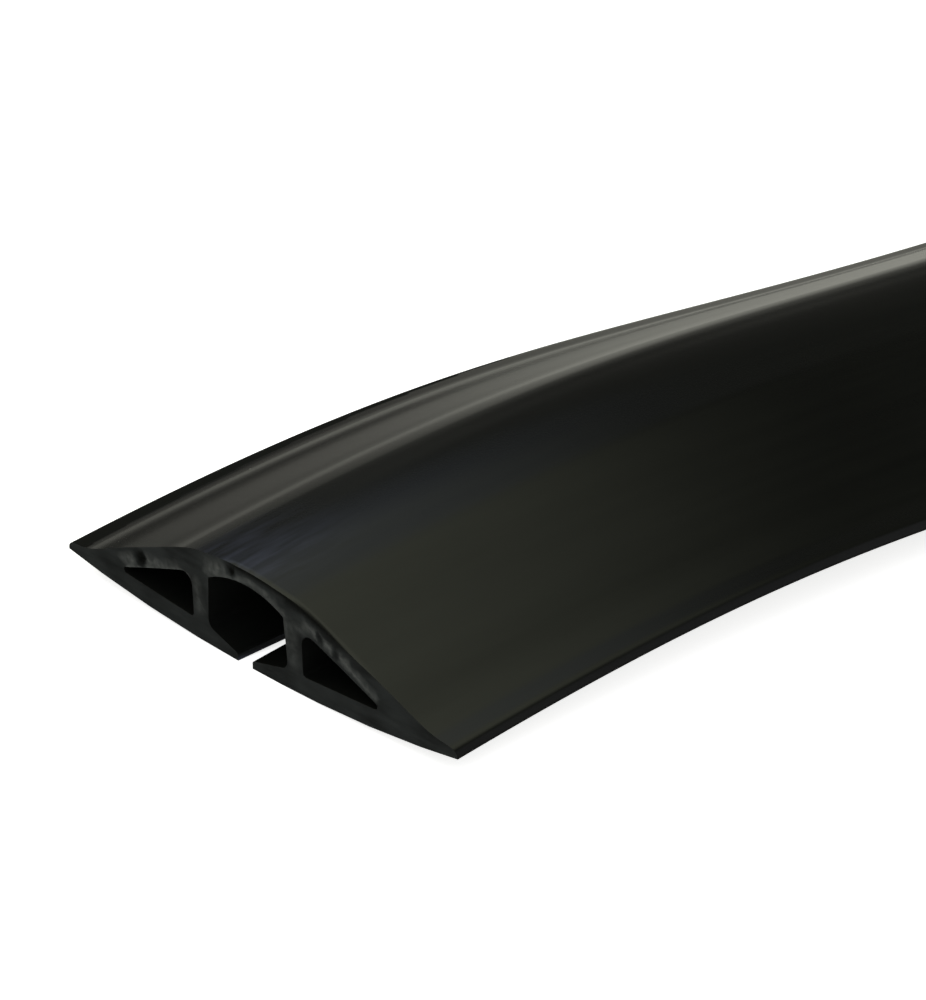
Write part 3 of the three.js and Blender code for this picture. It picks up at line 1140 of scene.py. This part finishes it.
@dataclass
class Studio:
    """The pale floor, the soft lights and the camera. Lengths are in metres, and angles in radians."""

    near_y: float
    floor_size: float = 12.0
    floor_finish: StudioFloor = StudioFloor("matt_white_floor")
    wall_colour: str = "#363633"
    key_power: float = 50.0
    key_size: float = 2.6
    key_place: tuple[float, float, float] = (1.5, -1.35, 1.7)
    key_target: tuple[float, float, float] = (0.0, 0.15, 0.0)
    camera_focal_px: float = 4079.148
    camera_azimuth: float = 0.8331272
    camera_elevation: float = 0.4444120
    camera_roll: float = 0.0055909
    camera_distance: float = 0.6734720
    camera_target: tuple[float, float, float] = (-0.1559818, 0.1707457, -0.0896686)
    image_long_side: float = 1000.0
    sensor: float = 36.0
    nearest_seen: float = 0.01

    def __post_init__(self) -> None:
        """Notes the strip's near end, from which the places of the camera and the light are measured."""
        self.near_end = Vector((0, self.near_y, 0))

    def floor(self) -> None:
        """Lays the floor under the strip. The rubber doesn't mirror it, because the panels stand for it."""
        half = self.floor_size / 2
        mesh = bpy.data.meshes.new("studio_floor")
        corners = [(-half, -half, 0), (half, -half, 0), (half, half, 0), (-half, half, 0)]
        mesh.from_pydata(corners, [], [(0, 1, 2, 3)])
        mesh.materials.append(self.floor_finish.material())
        piece = bpy.data.objects.new("studio_floor", mesh)
        bpy.context.scene.collection.objects.link(piece)
        piece.visible_glossy = False

    def camera(self) -> None:
        """Sets up the camera at the photo's viewing angle."""
        az, el, roll = self.camera_azimuth, self.camera_elevation, self.camera_roll
        back = Vector((math.sin(az) * math.cos(el), -math.cos(az) * math.cos(el), math.sin(el)))
        right = Vector((math.cos(az), math.sin(az), 0))
        up = back.cross(right)
        turned_right = right * math.cos(roll) + up * math.sin(roll)
        turned_up = up * math.cos(roll) - right * math.sin(roll)
        data = bpy.data.cameras.new("camera")
        data.sensor_width = self.sensor
        data.lens = self.camera_focal_px / self.image_long_side * self.sensor
        data.clip_start = self.nearest_seen
        piece = bpy.data.objects.new("camera", data)
        place = Vector(self.camera_target) + back * self.camera_distance + self.near_end
        axes = Matrix((turned_right, turned_up, back)).transposed()
        piece.matrix_world = Matrix.Translation(place) @ axes.to_4x4()
        bpy.context.scene.collection.objects.link(piece)
        bpy.context.scene.camera = piece

    def front_key(self) -> None:
        """Hangs the soft light in front, which the rubber doesn't mirror: it lights the cut and the floor."""
        data = bpy.data.lights.new("front_key", "AREA")
        data.size = self.key_size
        data.energy = self.key_power
        piece = bpy.data.objects.new("front_key", data)
        place, target = (Vector(spot) + self.near_end for spot in (self.key_place, self.key_target))
        turn = (target - place).to_track_quat("-Z", "Y").to_matrix()
        piece.matrix_world = Matrix.Translation(place) @ turn.to_4x4()
        piece.visible_glossy = False
        bpy.context.scene.collection.objects.link(piece)

    def room(self) -> None:
        """Makes the room round the strip: dim walls with soft panels."""
        world = bpy.data.worlds.new("room")
        world.use_nodes = True
        tree = world.node_tree
        tree.nodes.clear()
        direction = add(tree, "ShaderNodeTexCoord").outputs["Generated"]
        parts = add(tree, "ShaderNodeSeparateXYZ", (direction,)).outputs
        left = add(tree, "ShaderNodeMath", (parts["X"], -1.0), operation="MULTIPLY")
        turn = add(tree, "ShaderNodeMath", (left, parts["Y"]), operation="ARCTAN2")
        azimuth = add(tree, "ShaderNodeMath", (turn,), operation="DEGREES")
        rise = add(tree, "ShaderNodeMath", (parts["Z"],), operation="ARCSINE")
        elevation = add(tree, "ShaderNodeMath", (rise,), operation="DEGREES")
        total = add(tree, "ShaderNodeCombineXYZ", linear(self.wall_colour)[:3])
        for panel in PANELS:
            light = panel.shine(tree, azimuth, elevation)
            total = add(tree, "ShaderNodeVectorMath", (total, light), operation="ADD")
        add(tree, "ShaderNodeOutputWorld", {"Surface": add(tree, "ShaderNodeBackground", {"Color": total})})
        bpy.context.scene.world = world

    def build(self) -> None:
        """Builds the studio."""
        self.floor()
        self.camera()
        self.room()
        self.front_key()
        bpy.context.scene.view_settings.view_transform = "Standard"
        LOG.info("studio: floor, camera and lights")


def main() -> None:
    """Builds everything and says how large it is."""
    logging.basicConfig(level=logging.INFO, format="%(name)s %(message)s")
    cover = CordCover()
    strip = cover.build()
    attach(strip, "root")
    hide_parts("cover_strip")
    Studio(cover.near_y()).build()


if __name__ == "__main__":
    main()
